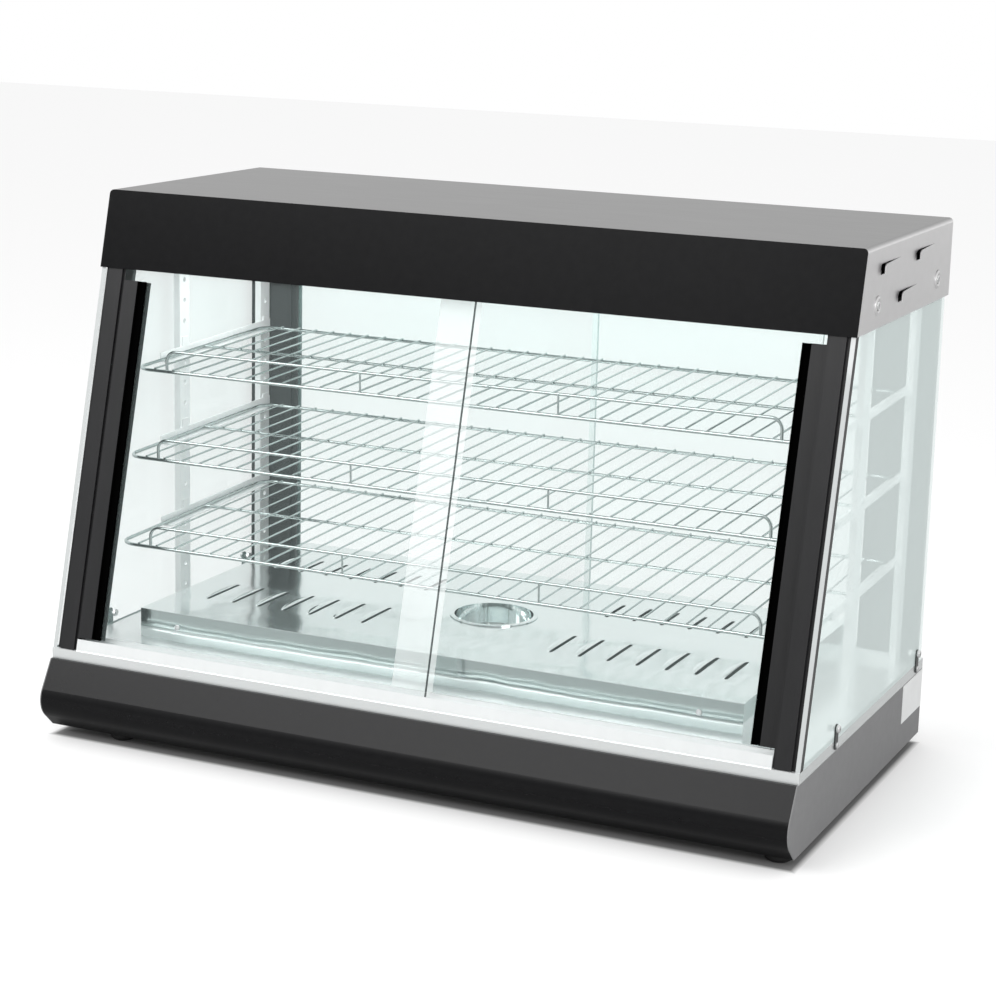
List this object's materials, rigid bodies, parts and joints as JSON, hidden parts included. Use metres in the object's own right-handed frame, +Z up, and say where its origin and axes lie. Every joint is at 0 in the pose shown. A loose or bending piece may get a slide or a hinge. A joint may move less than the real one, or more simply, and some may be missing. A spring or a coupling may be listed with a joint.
{
  "type": "heated display case",
  "caption": "Counter-top heated display case: leaning sliding-glass front, wire shelves, a raised heated floor with a water dish, and sliding doors at the rear.",
  "frame": {"origin": "on the counter, under the middle of the whole case", "axes": "+Z up, the leaning glass front faces -Y, +X to the customer's right along the case's length"},
  "size_m": [0.91, 0.5065, 0.617],
  "materials": {
    "black_steel": "satin black powder coat",
    "grey_steel": "satin grey paint",
    "zinc_sheet": "plain galvanised sheet",
    "stainless_sheet": "brushed stainless",
    "deck_steel": "bright stainless",
    "hood_steel": "fine brushed stainless",
    "aluminium": "clear anodised",
    "black_aluminium": "black anodised",
    "door_glass": "clear float glass",
    "side_glass": "clear float glass",
    "lamp_glass": "white coated tube",
    "chrome_wire": "bright chrome plate",
    "bright_screws": "nickel plated",
    "heater_sheath": "heat-stained sheath",
    "rubber": "matte",
    "black_plastic": "matte moulded",
    "white_plastic": "matte moulded",
    "switch_green": "translucent rocker",
    "lens_red": "translucent lens",
    "label_white": "blank foil label"
  },
  "bodies": {
    "case": {"base_bottom_pan": "zinc_sheet", "base_front_fascia": "black_steel", "base_rear_panel": "grey_steel", "base_side_left": "grey_steel", "base_side_right": "grey_steel", "rubber_feet": "rubber", "rating_label": "label_white", "deck_plate": "deck_steel", "floor_pan": "deck_steel", "pan_screws": "bright_screws", "heating_elements": "heater_sheath", "heater_brackets": "zinc_sheet", "terminal_block": "white_plastic", "cable_gland": "black_plastic", "thermostat_body": "white_plastic", "power_switch_housing": "black_plastic", "lamp_switch_housing": "black_plastic", "indicator_lamps": "lens_red", "front_bottom_track": "aluminium", "front_top_track": "aluminium", "rear_bottom_track": "aluminium", "rear_top_track": "aluminium", "glass_clips": "chrome_wire", "clip_screws": "bright_screws", "clip_nuts": "bright_screws", "hood_shell": "hood_steel", "hood_front_fascia": "black_steel", "hood_rear_panel": "hood_steel", "hood_ceiling": "stainless_sheet", "hood_screws": "bright_screws", "lamp_tube": "lamp_glass", "lamp_holders": "white_plastic", "lamp_ballast": "zinc_sheet", "front_post_left": "black_aluminium", "front_post_right": "black_aluminium", "rear_post_left": "black_aluminium", "rear_post_right": "black_aluminium", "side_glass_left": "side_glass", "side_glass_right": "side_glass", "uprights_left": "aluminium", "uprights_right": "aluminium", "bottom_shelf_supports": "aluminium", "middle_shelf_supports": "aluminium", "top_shelf_supports": "aluminium"},
    "front_left_door": {"front_left_door_glass": "door_glass", "front_left_door_handle": "black_aluminium"},
    "front_right_door": {"front_right_door_glass": "door_glass", "front_right_door_handle": "black_aluminium"},
    "rear_left_door": {"rear_left_door_glass": "door_glass", "rear_left_door_handle": "black_aluminium"},
    "rear_right_door": {"rear_right_door_glass": "door_glass", "rear_right_door_handle": "black_aluminium"},
    "top_shelf": {"top_shelf": "chrome_wire"},
    "middle_shelf": {"middle_shelf": "chrome_wire"},
    "bottom_shelf": {"bottom_shelf": "chrome_wire"},
    "water_dish": {"water_dish": "deck_steel"},
    "thermostat_knob": {"thermostat_knob": "black_plastic"},
    "power_switch_rocker": {"power_switch_rocker": "switch_green"},
    "lamp_switch_rocker": {"lamp_switch_rocker": "switch_green"}
  },
  "joints": [
    {"name": "front_left_door_slide", "type": "slide", "parent": "case", "child": "front_left_door", "axis": [1, 0, 0], "range_m": [0, 0.39]},
    {"name": "front_right_door_slide", "type": "slide", "parent": "case", "child": "front_right_door", "axis": [1, 0, 0], "range_m": [-0.39, 0]},
    {"name": "rear_left_door_slide", "type": "slide", "parent": "case", "child": "rear_left_door", "axis": [1, 0, 0], "range_m": [0, 0.383]},
    {"name": "rear_right_door_slide", "type": "slide", "parent": "case", "child": "rear_right_door", "axis": [1, 0, 0], "range_m": [-0.383, 0]},
    {"name": "top_shelf_lift", "type": "slide", "parent": "case", "child": "top_shelf", "axis": [0, 0, 1], "range_m": [0, 0.01]},
    {"name": "middle_shelf_lift", "type": "slide", "parent": "case", "child": "middle_shelf", "axis": [0, 0, 1], "range_m": [0, 0.01]},
    {"name": "bottom_shelf_lift", "type": "slide", "parent": "case", "child": "bottom_shelf", "axis": [0, 0, 1], "range_m": [0, 0.01]},
    {"name": "water_dish_lift", "type": "slide", "parent": "case", "child": "water_dish", "axis": [0, 0, 1], "range_m": [0, 0.045]},
    {"name": "thermostat_knob_turn", "type": "hinge", "parent": "case", "child": "thermostat_knob", "pos_m": [0.33, 0.23525, 0.05], "axis": [0, -1, 0], "range_deg": [0, 270]},
    {"name": "power_switch_rock", "type": "hinge", "parent": "case", "child": "power_switch_rocker", "pos_m": [0.255, 0.23075, 0.05], "axis": [1, 0, 0], "range_deg": [0, 20]},
    {"name": "lamp_switch_rock", "type": "hinge", "parent": "case", "child": "lamp_switch_rocker", "pos_m": [0.205, 0.23075, 0.05], "axis": [1, 0, 0], "range_deg": [0, 20]}
  ]
}
